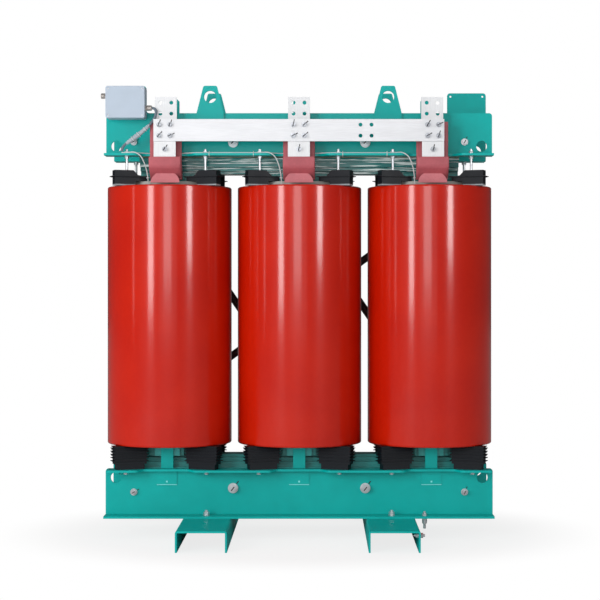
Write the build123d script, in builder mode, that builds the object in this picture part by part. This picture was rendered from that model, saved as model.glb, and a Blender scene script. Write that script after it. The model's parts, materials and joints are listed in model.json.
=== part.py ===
from build123d import *
from math import sqrt, hypot, atan2, degrees, tan, radians
import os

# Three-phase cast-resin dry-type transformer, in millimetres.
# +Z is up and the floor is Z = 0.  The low-voltage side faces -Y, the high-voltage side
# faces +Y, and the three phases a, b and c stand side by side along X about the origin.

os.makedirs("parts", exist_ok=True)

# ---------------------------------------------------------------- core and windings
# The radii build outwards from the core: gap, low-voltage wall, air duct, high-voltage wall.
core_circle_r = 140.4
core_half_widths = (130.0, 118.0, 100.0, 76.0, 58.0)
core_gap = 7.6
lv_wall = 52.0
duct_w = 35.0
hv_wall = 55.0
coil_gap = 30.0
coil_bottom_z = 421.0
hv_height = 1196.0
hv_edge_r = 8.0
lv_overhang = 20.0
bottom_yoke_z = 240.0
top_yoke_rise = 191.0

lv_inner_r = core_circle_r + core_gap
lv_outer_r = lv_inner_r + lv_wall
hv_inner_r = lv_outer_r + duct_w
hv_outer_r = hv_inner_r + hv_wall
phase_pitch = 2 * hv_outer_r + coil_gap
phases = {"a": -phase_pitch, "b": 0.0, "c": phase_pitch}
hv_top_z = coil_bottom_z + hv_height
lv_top_z = hv_top_z + lv_overhang
top_yoke_z = hv_top_z + top_yoke_rise
yoke_half_height = core_half_widths[0]
yoke_half_length = phase_pitch + core_half_widths[0]
narrow_half_width = core_half_widths[-1]
core_half_depth = sqrt(core_circle_r**2 - narrow_half_width**2)
window_bottom_z = bottom_yoke_z + yoke_half_height
window_height = top_yoke_z - yoke_half_height - window_bottom_z

# ---------------------------------------------------------------- frame
plate_t = 10.0
tie_plate_t = 10.0
tie_plate_w = 56.0
tie_plate_margin = 40.0
pad_gap = 4.0
foot_height = 93.5
foot_width = 225.0
foot_wall = 8.0
foot_bend_r = 10.0
foot_length = 1234.0
foot_x = 420.0
foot_anchor_inset = 231.0
foot_anchor_r = 10.0
flange_reach = 235.0
flange_waist = 185.0
waist_half_w = 85.0
waist_blend_w = 65.0
bottom_clamp_overhang = 283.0
bottom_clamp_h = 220.0
top_clamp_overhang = 280.0
top_clamp_rise = 135.0
top_clamp_h = 201.0
clamp_corner_r = 14.0
end_hole_r = 25.0
end_hole_inset = 48.0
end_hole_rise = 48.0
bottom_end_hole_drop = 42.5
ear_w = 185.0
ear_h = 326.0
ear_hole_r = 5.0
ear_hole_inset = 16.0
lug_x = 410.0
lug_top_w = 62.0
lug_w = 125.0
lug_t = 12.0
lug_overlap = 100.0
lug_hole_r = 28.0
lug_hole_drop = 51.0
lug_corner_r = 10.0
upright_w = 64.0
upright_drop = 28.0
seat_plate_w = 92.0
seat_plate_h = 64.0
seat_plate_t = 4.0

web_inner_y = core_half_depth + tie_plate_t
web_outer_y = web_inner_y + plate_t
bottom_clamp_half_l = phase_pitch + bottom_clamp_overhang
bottom_clamp_z = foot_height
bottom_clamp_top_z = bottom_clamp_z + bottom_clamp_h
top_clamp_half_l = phase_pitch + top_clamp_overhang
top_clamp_z = hv_top_z + top_clamp_rise
top_clamp_top_z = top_clamp_z + top_clamp_h
ear_top_z = top_clamp_z + ear_h
upright_top_z = ear_top_z - upright_drop
bottom_end_hole_x = bottom_clamp_half_l - end_hole_inset
top_end_hole_x = top_clamp_half_l - end_hole_inset
foot_anchor_y = foot_length / 2 - foot_anchor_inset

# ---------------------------------------------------------------- fasteners
# name: shank radius, washer radius, washer thickness, width across flats, nut height
m12 = (6.0, 12.0, 2.5, 19.0, 10.0)
m16 = (8.0, 16.0, 3.0, 24.0, 13.0)
m24 = (12.0, 23.5, 4.0, 36.0, 19.0)
hole_clearance = 1.0
thread_tail = 8.0
nut_stack = m12[2] + m12[4]

yoke_bolt_x = phase_pitch / 2
top_yoke_bolt_z = top_yoke_z + 10.0
bottom_yoke_bolt_z = bottom_yoke_z - 17.0
end_bolt_gap = 23.0
end_bolt_x = yoke_half_length + end_bolt_gap
top_end_bolt_z = top_yoke_z + 12.0
bottom_end_bolt_z = bottom_yoke_z - 35.0
foot_bolt_x = foot_x + 5.0
foot_bolt_y = 190.0

# ---------------------------------------------------------------- support blocks
block_outer = (hv_outer_r - 50.0, hv_outer_r - 95.0)
block_inner = (lv_outer_r - 100.0, lv_outer_r - 55.0)
block_w = 52.0
fin_reach = 5.0
fin_t = 4.0
fin_pitch = 14.0
fin_count = 4
block_base_h = 25.0
block_base_inset = 9.0
press_block_h = 70.0
press_fin_rise = 38.0
press_cap_l = 112.0
press_step_shift = 22.0
pad_t = 6.0
press_stud_x = 180.0
press_stud_y = 190.0
press_stud_tail = 21.0
seat_bolt_x = 185.0
seat_bolt_y = 190.0

# ---------------------------------------------------------------- low-voltage bars
bar_w = 100.0
bar_t = 10.0
phase_riser_l = 384.0
neutral_bar_rise = 226.0
terminal_drop = 51.0
riser_bolt_drop = 86.0
bar_hole_pitch = 50.0
terminal_hole_r = 9.0
phase_crank_rise = (23.0, 88.0)
neutral_crank_rise = (18.0, 65.0)
crank_r = 16.0
sleeve_w = 146.0
sleeve_t = 22.0
sleeve_gap = 8.0
phase_bare_l = 114.0
neutral_bare_l = 70.0

phase_lead_y = -(lv_inner_r + 15.0)
neutral_lead_y = -(lv_outer_r - 13.0)
phase_riser_y = -(flange_waist + 16.0)
neutral_riser_y = -(flange_reach + 23.0)
phase_riser_top_z = lv_top_z + phase_riser_l
phase_terminal_z = phase_riser_top_z - terminal_drop
neutral_bar_z = lv_top_z + neutral_bar_rise
neutral_bar_half_l = phase_pitch + bar_w / 2
neutral_spare_x = phase_pitch / 2
riser_bolt_z = neutral_bar_z - riser_bolt_drop
phase_sleeve_top_z = phase_riser_top_z - phase_bare_l
neutral_sleeve_top_z = neutral_bar_z - bar_w / 2 - neutral_bare_l

# ---------------------------------------------------------------- high-voltage side
boss_w = 210.0
boss_proud = 22.0
boss_margin = 62.0
boss_corner_r = 14.0
hv_top_terminal_drop = 116.0
hv_bottom_terminal_rise = 193.0
tap_rows = 3
tap_row_pitch = 62.0
tap_column_pitch = 84.0
tap_post_r = 13.0
tap_post_l = 14.0
tap_link_w = 26.0
tap_link_t = 4.0
short_delta_stand_off = 33.0
long_delta_stand_off = 83.0
delta_r = 18.0
delta_lug_w = 34.0
delta_lug_t = 8.0
delta_lug_l = 62.0
post_r = 16.0

boss_reach = hv_outer_r + boss_proud
hv_top_terminal_z = hv_top_z - hv_top_terminal_drop
hv_bottom_terminal_z = coil_bottom_z + hv_bottom_terminal_rise
short_delta_y = boss_reach + short_delta_stand_off
long_delta_y = boss_reach + long_delta_stand_off

# ---------------------------------------------------------------- junction box and sensor wiring
box_inset = 97.5
box_drop = 83.0
box_w = 179.0
box_h = 146.0
box_base_d = 80.0
box_lid_d = 16.0
box_wall = 3.0
box_corner_r = 9.0
lid_screw_inset = 12.0
lid_screw_r = 4.0
gland_r = 13.5
gland_bore_r = 6.5
gland_hex_l = 9.0
gland_depth = 66.14
left_gland_rise = 29.0
left_gland_l = 23.0
right_gland_drop = 26.0
right_gland_l = 30.0
cable_r = 6.0
lead_r = 2.5
lead_spacing = 6.0
lead_edge = 4.0
earth_stud_inset = 318.0
earth_stud_y = -205.0
earth_stud_drop = 48.0
foot_earth_inset = 42.0
foot_earth_drop = 23.5

box_x = box_inset - top_clamp_half_l
box_z = ear_top_z - box_drop
gland_y = -(web_outer_y + gland_depth)
left_gland_z = box_z + left_gland_rise
right_gland_z = box_z - right_gland_drop
earth_stud_x = bottom_clamp_half_l - earth_stud_inset
foot_earth_y = foot_earth_inset - foot_length / 2
foot_earth_z = foot_height - foot_earth_drop


def shank_hole_r(size):
    return size[0] + hole_clearance


def step_depth(half_width):
    """Half depth of one step of the stepped core inside its circumscribed circle."""
    return sqrt(core_circle_r**2 - half_width**2)


def washer_and_nut(size):
    """Round washer with a hexagon nut on it, standing on the XY plane."""
    washer_r, washer_t, across_flats, nut_h = size[1:]
    with BuildPart() as stack:
        with BuildSketch():
            Circle(washer_r)
        extrude(amount=washer_t)
        with BuildSketch(Plane.XY.offset(washer_t)):
            RegularPolygon(across_flats / 2, 6, major_radius=False)
        extrude(amount=nut_h)
    return stack.part


def clamped_stud(grip, size):
    """Stud along Z with a washer and nut on both faces of a grip that starts at Z = 0."""
    tail = size[2] + size[4] + thread_tail
    with BuildPart() as stud:
        with BuildSketch(Plane.XY.offset(-tail)):
            Circle(size[0])
        extrude(amount=grip + 2 * tail)
        with Locations((0, 0, grip)):
            add(washer_and_nut(size))
        mirror(washer_and_nut(size), about=Plane.XY)
    return stud.part


# ================================================================ core
# Stepped, bolted core of painted sheet steel: three limbs between two yokes.
for letter, phase_x in phases.items():
    with BuildPart() as core_limb:
        with BuildSketch(Plane.XY.offset(window_bottom_z)):
            with Locations((phase_x, 0)):
                for half_width in core_half_widths:
                    Rectangle(2 * half_width, 2 * step_depth(half_width))
        extrude(amount=window_height)
    core_limb.part.label = f"core_limb_{letter}"
    export_step(core_limb.part, f"parts/core_limb_{letter}.step")

for name, yoke_z, bolt_z in (
    ("bottom_yoke", bottom_yoke_z, bottom_yoke_bolt_z),
    ("top_yoke", top_yoke_z, top_yoke_bolt_z),
):
    with BuildPart() as yoke:
        with BuildSketch(Plane.YZ.offset(-yoke_half_length)):
            with Locations((0, yoke_z)):
                for half_height in core_half_widths:
                    Rectangle(2 * step_depth(half_height), 2 * half_height)
        extrude(amount=2 * yoke_half_length)
        with BuildSketch(Plane.XZ):
            with Locations((-yoke_bolt_x, bolt_z), (yoke_bolt_x, bolt_z)):
                Circle(shank_hole_r(m24))
        extrude(amount=core_half_depth, both=True, mode=Mode.SUBTRACT)
    yoke.part.label = name
    export_step(yoke.part, f"parts/{name}.step")

# Tie plates: flat steel straps on the front and back of each limb, from clamp to clamp.
tie_plate_z = bottom_clamp_z + tie_plate_margin
tie_plate_l = top_clamp_top_z - tie_plate_margin - tie_plate_z
with BuildPart() as tie_plates:
    for side in (-1, 1):
        with BuildSketch(Plane.XY.offset(tie_plate_z)):
            with Locations(*[(x, side * (core_half_depth + tie_plate_t / 2)) for x in phases.values()]):
                Rectangle(tie_plate_w, tie_plate_t)
        extrude(amount=tie_plate_l)
tie_plates.part.label = "tie_plates"
export_step(tie_plates.part, "parts/tie_plates.step")

# Insulating pads between yoke and clamp web, filling the runs between the tie plates.
pad_ends = [-yoke_half_length]
for phase_x in phases.values():
    pad_ends.append(phase_x - tie_plate_w / 2 - pad_gap)
    pad_ends.append(phase_x + tie_plate_w / 2 + pad_gap)
pad_ends.append(yoke_half_length)
with BuildPart() as yoke_pads:
    for yoke_z, bolt_z in ((bottom_yoke_z, bottom_yoke_bolt_z), (top_yoke_z, top_yoke_bolt_z)):
        for side in (-1, 1):
            with BuildSketch(Plane.XZ.offset(-side * core_half_depth)):
                for start, end in zip(pad_ends[0::2], pad_ends[1::2]):
                    with Locations(((start + end) / 2, yoke_z)):
                        Rectangle(end - start, 2 * narrow_half_width)
                with Locations((-yoke_bolt_x, bolt_z), (yoke_bolt_x, bolt_z)):
                    Circle(shank_hole_r(m24), mode=Mode.SUBTRACT)
            extrude(amount=-side * tie_plate_t)
yoke_pads.part.label = "yoke_pads"
export_step(yoke_pads.part, "parts/yoke_pads.step")


# ================================================================ clamps
def waisted_flange(half_length):
    """Flange seen from above, drawn in at each coil axis by a smooth S-curve."""
    blend = waist_half_w + waist_blend_w
    with BuildSketch() as flange:
        with Locations((0, -(web_inner_y + flange_reach) / 2)):
            Rectangle(2 * half_length, flange_reach - web_inner_y)
        for phase_x in phases.values():
            with BuildLine():
                left = Spline(
                    (phase_x - blend, -flange_reach),
                    (phase_x - waist_half_w, -flange_waist),
                    tangents=((1, 0), (1, 0)),
                )
                middle = Line(left @ 1, (phase_x + waist_half_w, -flange_waist))
                right = Spline(
                    middle @ 1,
                    (phase_x + blend, -flange_reach),
                    tangents=((1, 0), (1, 0)),
                )
                Line(right @ 1, left @ 0)
            make_face(mode=Mode.SUBTRACT)
    return flange.sketch


foot_bolt_spots = [(-foot_bolt_x, -foot_bolt_y), (foot_bolt_x, -foot_bolt_y)]
seat_bolt_spots = []
for phase_x in phases.values():
    seat_bolt_spots.append((phase_x - seat_bolt_x, -seat_bolt_y))
    seat_bolt_spots.append((phase_x + seat_bolt_x, -seat_bolt_y))
press_stud_spots = []
for phase_x in phases.values():
    press_stud_spots.append((phase_x - press_stud_x, -press_stud_y))
    press_stud_spots.append((phase_x + press_stud_x, -press_stud_y))

# Bottom clamp: a channel with a straight lower flange and a waisted upper flange.
with BuildPart() as bottom_clamp_front:
    with BuildSketch(Plane.XZ.offset(web_inner_y)):
        with BuildLine():
            outline = FilletPolyline(
                (-bottom_clamp_half_l, bottom_clamp_z),
                (-bottom_clamp_half_l, bottom_clamp_top_z),
                (bottom_clamp_half_l, bottom_clamp_top_z),
                (bottom_clamp_half_l, bottom_clamp_z),
                radius=clamp_corner_r,
            )
            Line(outline @ 1, outline @ 0)
        make_face()
        with Locations(
            (-bottom_end_hole_x, bottom_clamp_top_z - bottom_end_hole_drop),
            (bottom_end_hole_x, bottom_clamp_top_z - bottom_end_hole_drop),
        ):
            Circle(end_hole_r, mode=Mode.SUBTRACT)
        with Locations((-yoke_bolt_x, bottom_yoke_bolt_z), (yoke_bolt_x, bottom_yoke_bolt_z)):
            Circle(shank_hole_r(m24), mode=Mode.SUBTRACT)
        with Locations((-end_bolt_x, bottom_end_bolt_z), (end_bolt_x, bottom_end_bolt_z)):
            Circle(shank_hole_r(m16), mode=Mode.SUBTRACT)
    extrude(amount=plate_t)
    with BuildSketch(Plane.XY.offset(bottom_clamp_z)):
        with Locations((0, -(web_inner_y + flange_reach) / 2)):
            Rectangle(2 * bottom_clamp_half_l, flange_reach - web_inner_y)
        with Locations(*foot_bolt_spots):
            Circle(shank_hole_r(m16), mode=Mode.SUBTRACT)
        with Locations((earth_stud_x, earth_stud_y)):
            Circle(shank_hole_r(m12), mode=Mode.SUBTRACT)
    extrude(amount=plate_t)
    with BuildSketch(Plane.XY.offset(bottom_clamp_top_z - plate_t)):
        add(waisted_flange(bottom_clamp_half_l - clamp_corner_r))
        with Locations(*seat_bolt_spots):
            Circle(shank_hole_r(m12), mode=Mode.SUBTRACT)
    extrude(amount=plate_t)
    with BuildSketch(Plane.XZ.offset(web_outer_y)):
        with Locations(
            *[(x, bottom_clamp_top_z - plate_t - seat_plate_h / 2) for x in phases.values()]
        ):
            Rectangle(seat_plate_w, seat_plate_h)
    extrude(amount=seat_plate_t)
bottom_clamp_front.part.label = "bottom_clamp_front"
export_step(bottom_clamp_front.part, "parts/bottom_clamp_front.step")

with BuildPart() as bottom_clamp_rear:
    add(bottom_clamp_front.part.rotate(Axis.Z, 180))
bottom_clamp_rear.part.label = "bottom_clamp_rear"
export_step(bottom_clamp_rear.part, "parts/bottom_clamp_rear.step")


# Lifting lug: straight where it is welded to the web, tapered above the web.
lug_foot_z = top_clamp_top_z - lug_overlap
with BuildPart() as lifting_lug:
    with BuildSketch(Plane.XZ.offset(web_outer_y)):
        with BuildLine():
            Polyline(
                (-lug_w / 2, lug_foot_z),
                (-lug_w / 2, top_clamp_top_z),
                (-lug_top_w / 2, ear_top_z),
                (lug_top_w / 2, ear_top_z),
                (lug_w / 2, top_clamp_top_z),
                (lug_w / 2, lug_foot_z),
                close=True,
            )
        lug_face = make_face()
        fillet(lug_face.vertices().group_by(Axis.Y)[-1], radius=lug_corner_r)
        with Locations((0, ear_top_z - lug_hole_drop)):
            Circle(lug_hole_r, mode=Mode.SUBTRACT)
    extrude(amount=lug_t)

# Top clamp: an angle with a waisted lower flange, an ear at one end and two lifting lugs.
ear_left_x = -top_clamp_half_l
ear_right_x = ear_left_x + ear_w
with BuildPart() as top_clamp_front:
    with BuildSketch(Plane.XZ.offset(web_inner_y)):
        with BuildLine():
            outline = FilletPolyline(
                (ear_left_x, top_clamp_z),
                (ear_left_x, ear_top_z),
                (ear_right_x, ear_top_z),
                (ear_right_x, top_clamp_top_z),
                (top_clamp_half_l, top_clamp_top_z),
                (top_clamp_half_l, top_clamp_z),
                radius=clamp_corner_r,
            )
            Line(outline @ 1, outline @ 0)
        make_face()
        with Locations(
            (-top_end_hole_x, top_clamp_z + end_hole_rise),
            (top_end_hole_x, top_clamp_z + end_hole_rise),
        ):
            Circle(end_hole_r, mode=Mode.SUBTRACT)
        with Locations((-yoke_bolt_x, top_yoke_bolt_z), (yoke_bolt_x, top_yoke_bolt_z)):
            Circle(shank_hole_r(m24), mode=Mode.SUBTRACT)
        with Locations((-end_bolt_x, top_end_bolt_z), (end_bolt_x, top_end_bolt_z)):
            Circle(shank_hole_r(m16), mode=Mode.SUBTRACT)
        with Locations(
            (ear_left_x + ear_hole_inset, ear_top_z - ear_hole_inset),
            (ear_right_x - ear_hole_inset, ear_top_z - ear_hole_inset),
        ):
            Circle(ear_hole_r, mode=Mode.SUBTRACT)
    extrude(amount=plate_t)
    with BuildSketch(Plane.XY.offset(top_clamp_z)):
        add(waisted_flange(top_clamp_half_l))
        with Locations(*press_stud_spots):
            Circle(shank_hole_r(m12), mode=Mode.SUBTRACT)
    extrude(amount=plate_t)
    with Locations((-lug_x, 0, 0), (lug_x, 0, 0)):
        add(lifting_lug.part)
top_clamp_front.part.label = "top_clamp_front"
export_step(top_clamp_front.part, "parts/top_clamp_front.step")

# The rear clamp is the same part turned round, with three upright brackets on its web.
with BuildPart() as top_clamp_rear:
    add(top_clamp_front.part.rotate(Axis.Z, 180))
    with BuildSketch(Plane.XZ.offset(-web_outer_y)):
        upright_z = top_clamp_top_z - lug_overlap
        with Locations(*[(x, (upright_z + upright_top_z) / 2) for x in phases.values()]):
            upright = Rectangle(upright_w, upright_top_z - upright_z)
        chamfer(upright.vertices().group_by(Axis.Y)[-1], length=lug_corner_r)
    extrude(amount=-plate_t)
top_clamp_rear.part.label = "top_clamp_rear"
export_step(top_clamp_rear.part, "parts/top_clamp_rear.step")


# ================================================================ feet
# Two folded channels, open downwards, running from front to back under the clamps.
for name, side in (("foot_left", -1), ("foot_right", 1)):
    with BuildPart() as foot:
        with BuildSketch(Plane.XZ.offset(-foot_length / 2)):
            with Locations((side * foot_x, foot_height / 2)):
                outer = Rectangle(foot_width, foot_height)
            fillet(outer.vertices().group_by(Axis.Y)[-1], radius=foot_bend_r)
            with BuildSketch(mode=Mode.PRIVATE) as hollow:
                with Locations((side * foot_x, (foot_height - foot_wall) / 2)):
                    inner = Rectangle(foot_width - 2 * foot_wall, foot_height - foot_wall)
                fillet(inner.vertices().group_by(Axis.Y)[-1], radius=foot_bend_r - foot_wall)
            add(hollow.sketch, mode=Mode.SUBTRACT)
        extrude(amount=foot_length)
        with BuildSketch(Plane.XY.offset(foot_height - foot_wall)):
            with Locations((side * foot_x, -foot_anchor_y), (side * foot_x, foot_anchor_y)):
                Circle(foot_anchor_r)
            with Locations((side * foot_bolt_x, -foot_bolt_y), (side * foot_bolt_x, foot_bolt_y)):
                Circle(shank_hole_r(m16))
        extrude(amount=foot_wall, mode=Mode.SUBTRACT)
        if side > 0:
            with BuildSketch(Plane.YZ.offset(foot_x + foot_width / 2 - foot_wall)):
                with Locations((foot_earth_y, foot_earth_z)):
                    Circle(shank_hole_r(m12))
            extrude(amount=foot_wall, mode=Mode.SUBTRACT)
    foot.part.label = name
    export_step(foot.part, f"parts/{name}.step")


# ================================================================ windings
# High-voltage winding: a cast-resin cylinder with a terminal boss down its rear side.
boss_z = coil_bottom_z + boss_margin
boss_h = hv_height - 2 * boss_margin
for letter, phase_x in phases.items():
    with BuildPart() as hv_coil:
        with BuildSketch(Plane.XY.offset(coil_bottom_z)):
            with Locations((phase_x, 0)):
                Circle(hv_outer_r)
        extrude(amount=hv_height)
        rims = hv_coil.edges().filter_by(GeomType.CIRCLE)
        fillet(rims, radius=hv_edge_r)
        with BuildSketch(Plane.XY.offset(boss_z)):
            with Locations((phase_x, (hv_inner_r + boss_reach) / 2)):
                boss = Rectangle(boss_w, boss_reach - hv_inner_r)
            fillet(boss.vertices().group_by(Axis.Y)[-1], radius=boss_corner_r)
        extrude(amount=boss_h)
        with BuildSketch(Plane.XY.offset(coil_bottom_z)):
            with Locations((phase_x, 0)):
                Circle(hv_inner_r)
        extrude(amount=hv_height, mode=Mode.SUBTRACT)
    hv_coil.part.label = f"hv_coil_{letter}"
    export_step(hv_coil.part, f"parts/hv_coil_{letter}.step")

    with BuildPart() as lv_coil:
        with BuildSketch(Plane.XY.offset(coil_bottom_z)):
            with Locations((phase_x, 0)):
                Circle(lv_outer_r)
                Circle(lv_inner_r, mode=Mode.SUBTRACT)
        extrude(amount=lv_top_z - coil_bottom_z)
    lv_coil.part.label = f"lv_coil_{letter}"
    export_step(lv_coil.part, f"parts/lv_coil_{letter}.step")


# ================================================================ support blocks
# Each block lies on a slanting line from the low-voltage ring out past the high-voltage rim.
block_l = hypot(block_outer[0] - block_inner[0], block_outer[1] - block_inner[1])
block_angle = degrees(atan2(block_inner[1] - block_outer[1], block_outer[0] - block_inner[0]))
block_centre = (
    (block_outer[0] + block_inner[0]) / 2,
    -(block_outer[1] + block_inner[1]) / 2,
)


def block_plane(phase_x, z):
    """Plane of the front right block of a coil, its x axis along the block."""
    origin = (phase_x + block_centre[0], block_centre[1], z)
    return Plane(origin).rotated((0, 0, block_angle))


for letter, phase_x in phases.items():
    body_z = bottom_clamp_top_z + block_base_h
    with BuildPart() as bottom_blocks:
        with BuildSketch(block_plane(phase_x, bottom_clamp_top_z)):
            Rectangle(block_l - 2 * block_base_inset, block_w - block_base_inset)
        extrude(amount=block_base_h)
        with BuildSketch(block_plane(phase_x, body_z)):
            Rectangle(block_l, block_w)
        extrude(amount=coil_bottom_z - body_z)
        for step in range(fin_count):
            with BuildSketch(block_plane(phase_x, coil_bottom_z - fin_t - step * fin_pitch)):
                Rectangle(block_l + 2 * fin_reach, block_w + 2 * fin_reach)
            extrude(amount=fin_t)
        with BuildSketch(Plane.XY.offset(bottom_clamp_top_z)):
            with Locations((phase_x + seat_bolt_x, -seat_bolt_y)):
                Circle(shank_hole_r(m12))
        extrude(amount=block_base_h, mode=Mode.SUBTRACT)
        mirror(about=Plane.YZ.offset(phase_x))
        mirror(about=Plane.XZ)
    bottom_blocks.part.label = f"bottom_blocks_{letter}"
    export_step(bottom_blocks.part, f"parts/bottom_blocks_{letter}.step")

    cap_z = hv_top_z + press_fin_rise + fin_t
    press_block_top_z = hv_top_z + press_block_h
    with BuildPart() as top_blocks:
        with BuildSketch(block_plane(phase_x, hv_top_z + pad_t)):
            Rectangle(block_l, block_w)
        extrude(amount=press_fin_rise - pad_t)
        with BuildSketch(block_plane(phase_x, hv_top_z + press_fin_rise)):
            Rectangle(block_l + 2 * fin_reach, block_w + 2 * fin_reach)
        extrude(amount=fin_t)
        with BuildSketch(block_plane(phase_x, cap_z)):
            with Locations(((block_l - press_cap_l) / 2, 0)):
                Rectangle(press_cap_l, block_w)
        extrude(amount=press_block_top_z - cap_z)
        shoulder = top_blocks.faces().sort_by(Axis.Z)[-1].edges().sort_by(Axis.X)[0]
        chamfer(shoulder, length=(press_block_top_z - cap_z) * 0.9)
        with BuildSketch(block_plane(phase_x, hv_top_z)):
            with Locations((-press_step_shift - block_l / 2, 0)):
                Rectangle(block_l, block_w + 2 * fin_reach)
        extrude(amount=lv_overhang, mode=Mode.SUBTRACT)
        mirror(about=Plane.YZ.offset(phase_x))
        mirror(about=Plane.XZ)
    top_blocks.part.label = f"top_blocks_{letter}"
    export_step(top_blocks.part, f"parts/top_blocks_{letter}.step")


# ================================================================ low-voltage bars
def flat_bar(points, width, thickness, x):
    """Flat bar swept along a cranked centre line given as (y, z) points, centred on x."""
    with BuildPart() as bar:
        with BuildSketch(Plane.YZ.offset(x - width / 2)):
            with BuildLine() as centre_line:
                FilletPolyline(*points, radius=crank_r)
            trace(centre_line.line, line_width=thickness)
        extrude(amount=width)
    return bar.part


def crank_points(lead_y, riser_y, crank_rise, bottom_z, top_z):
    """Centre line of a riser: up from its lead, over to its own plane, and up again."""
    return [
        (lead_y, bottom_z),
        (lead_y, lv_top_z + crank_rise[0]),
        (riser_y, lv_top_z + crank_rise[1]),
        (riser_y, top_z),
    ]


def square_holes(x, z, radius):
    """Four holes on a square pitch in an XZ plane, as a sketch of circles."""
    with BuildSketch() as holes:
        with Locations((x, z)):
            with GridLocations(bar_hole_pitch, bar_hole_pitch, 2, 2):
                Circle(radius)
    return holes.sketch


joint_hole_r = shank_hole_r(m12)
neutral_joint_y = neutral_riser_y - bar_t / 2
neutral_riser_top_z = neutral_bar_z + bar_w / 2
for letter, phase_x in phases.items():
    with BuildPart() as phase_riser:
        add(flat_bar(
            crank_points(
                phase_lead_y, phase_riser_y, phase_crank_rise, lv_top_z, phase_riser_top_z
            ),
            bar_w, bar_t, phase_x,
        ))
        with BuildSketch(Plane.XZ.offset(-phase_riser_y)):
            add(square_holes(phase_x, phase_terminal_z, terminal_hole_r))
        extrude(amount=bar_t, both=True, mode=Mode.SUBTRACT)
    phase_riser.part.label = f"phase_riser_{letter}"
    export_step(phase_riser.part, f"parts/phase_riser_{letter}.step")

    with BuildPart() as neutral_riser:
        add(flat_bar(
            crank_points(
                neutral_lead_y, neutral_riser_y, neutral_crank_rise, lv_top_z, neutral_riser_top_z
            ),
            bar_w, bar_t, phase_x,
        ))
        with BuildSketch(Plane.XZ.offset(-neutral_riser_y)):
            add(square_holes(phase_x, neutral_bar_z, joint_hole_r))
            with Locations((phase_x, riser_bolt_z)):
                Circle(joint_hole_r)
        extrude(amount=bar_t, both=True, mode=Mode.SUBTRACT)
    neutral_riser.part.label = f"neutral_riser_{letter}"
    export_step(neutral_riser.part, f"parts/neutral_riser_{letter}.step")

# Insulating sleeves, shrunk flat over each bar and wider than it.
sleeve_bottom_z = lv_top_z + sleeve_gap
for name, lead_y, riser_y, crank_rise, top_z in (
    ("phase_sleeves", phase_lead_y, phase_riser_y, phase_crank_rise, phase_sleeve_top_z),
    ("neutral_sleeves", neutral_lead_y, neutral_riser_y, neutral_crank_rise, neutral_sleeve_top_z),
):
    points = crank_points(lead_y, riser_y, crank_rise, sleeve_bottom_z, top_z)
    with BuildPart() as sleeves:
        for phase_x in phases.values():
            add(flat_bar(points, sleeve_w, sleeve_t, phase_x))
            add(flat_bar(points, bar_w, bar_t, phase_x), mode=Mode.SUBTRACT)
    sleeves.part.label = name
    export_step(sleeves.part, f"parts/{name}.step")

# Neutral bar bolted across the front of the three neutral risers.
with BuildPart() as neutral_bar:
    with BuildSketch(Plane.XZ.offset(-neutral_joint_y)):
        with Locations((0, neutral_bar_z)):
            Rectangle(2 * neutral_bar_half_l, bar_w)
        for phase_x in phases.values():
            add(square_holes(phase_x, neutral_bar_z, joint_hole_r), mode=Mode.SUBTRACT)
        add(square_holes(neutral_spare_x, neutral_bar_z, terminal_hole_r), mode=Mode.SUBTRACT)
    extrude(amount=bar_t)
neutral_bar.part.label = "neutral_bar"
export_step(neutral_bar.part, "parts/neutral_bar.step")

# Bolts of the neutral joints, and one more through each riser below its joint.
joint_stud = clamped_stud(2 * bar_t, m12)
riser_stud = clamped_stud(bar_t, m12)
riser_back_y = neutral_riser_y + bar_t / 2
stud_plane = Plane.XZ.offset(-riser_back_y)
with BuildPart() as neutral_bolts:
    for phase_x in phases.values():
        with Locations(stud_plane):
            with Locations((phase_x, neutral_bar_z)):
                with GridLocations(bar_hole_pitch, bar_hole_pitch, 2, 2):
                    add(joint_stud)
            with Locations((phase_x, riser_bolt_z)):
                add(riser_stud)
neutral_bolts.part.label = "neutral_bolts"
export_step(neutral_bolts.part, "parts/neutral_bolts.step")


# ================================================================ frame fasteners
# Studs through both top or both bottom clamps, large through the yoke, small past its ends.
yoke_stud = clamped_stud(2 * web_outer_y, m24)
end_stud = clamped_stud(2 * web_outer_y, m16)
rear_web_plane = Plane.XZ.offset(-web_outer_y)
with BuildPart() as yoke_studs:
    with Locations(rear_web_plane):
        with Locations(
            (-yoke_bolt_x, top_yoke_bolt_z),
            (yoke_bolt_x, top_yoke_bolt_z),
            (-yoke_bolt_x, bottom_yoke_bolt_z),
            (yoke_bolt_x, bottom_yoke_bolt_z),
        ):
            add(yoke_stud)
        with Locations(
            (-end_bolt_x, top_end_bolt_z),
            (end_bolt_x, top_end_bolt_z),
            (-end_bolt_x, bottom_end_bolt_z),
            (end_bolt_x, bottom_end_bolt_z),
        ):
            add(end_stud)
yoke_studs.part.label = "yoke_studs"
export_step(yoke_studs.part, "parts/yoke_studs.step")

# Bolts holding the bottom clamps down on the feet.
foot_grip = foot_wall + plate_t
foot_stud = clamped_stud(foot_grip, m16)
with BuildPart() as foot_bolts:
    with Locations((0, 0, foot_height - foot_wall)):
        with GridLocations(2 * foot_bolt_x, 2 * foot_bolt_y, 2, 2):
            add(foot_stud)
foot_bolts.part.label = "foot_bolts"
export_step(foot_bolts.part, "parts/foot_bolts.step")

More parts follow.
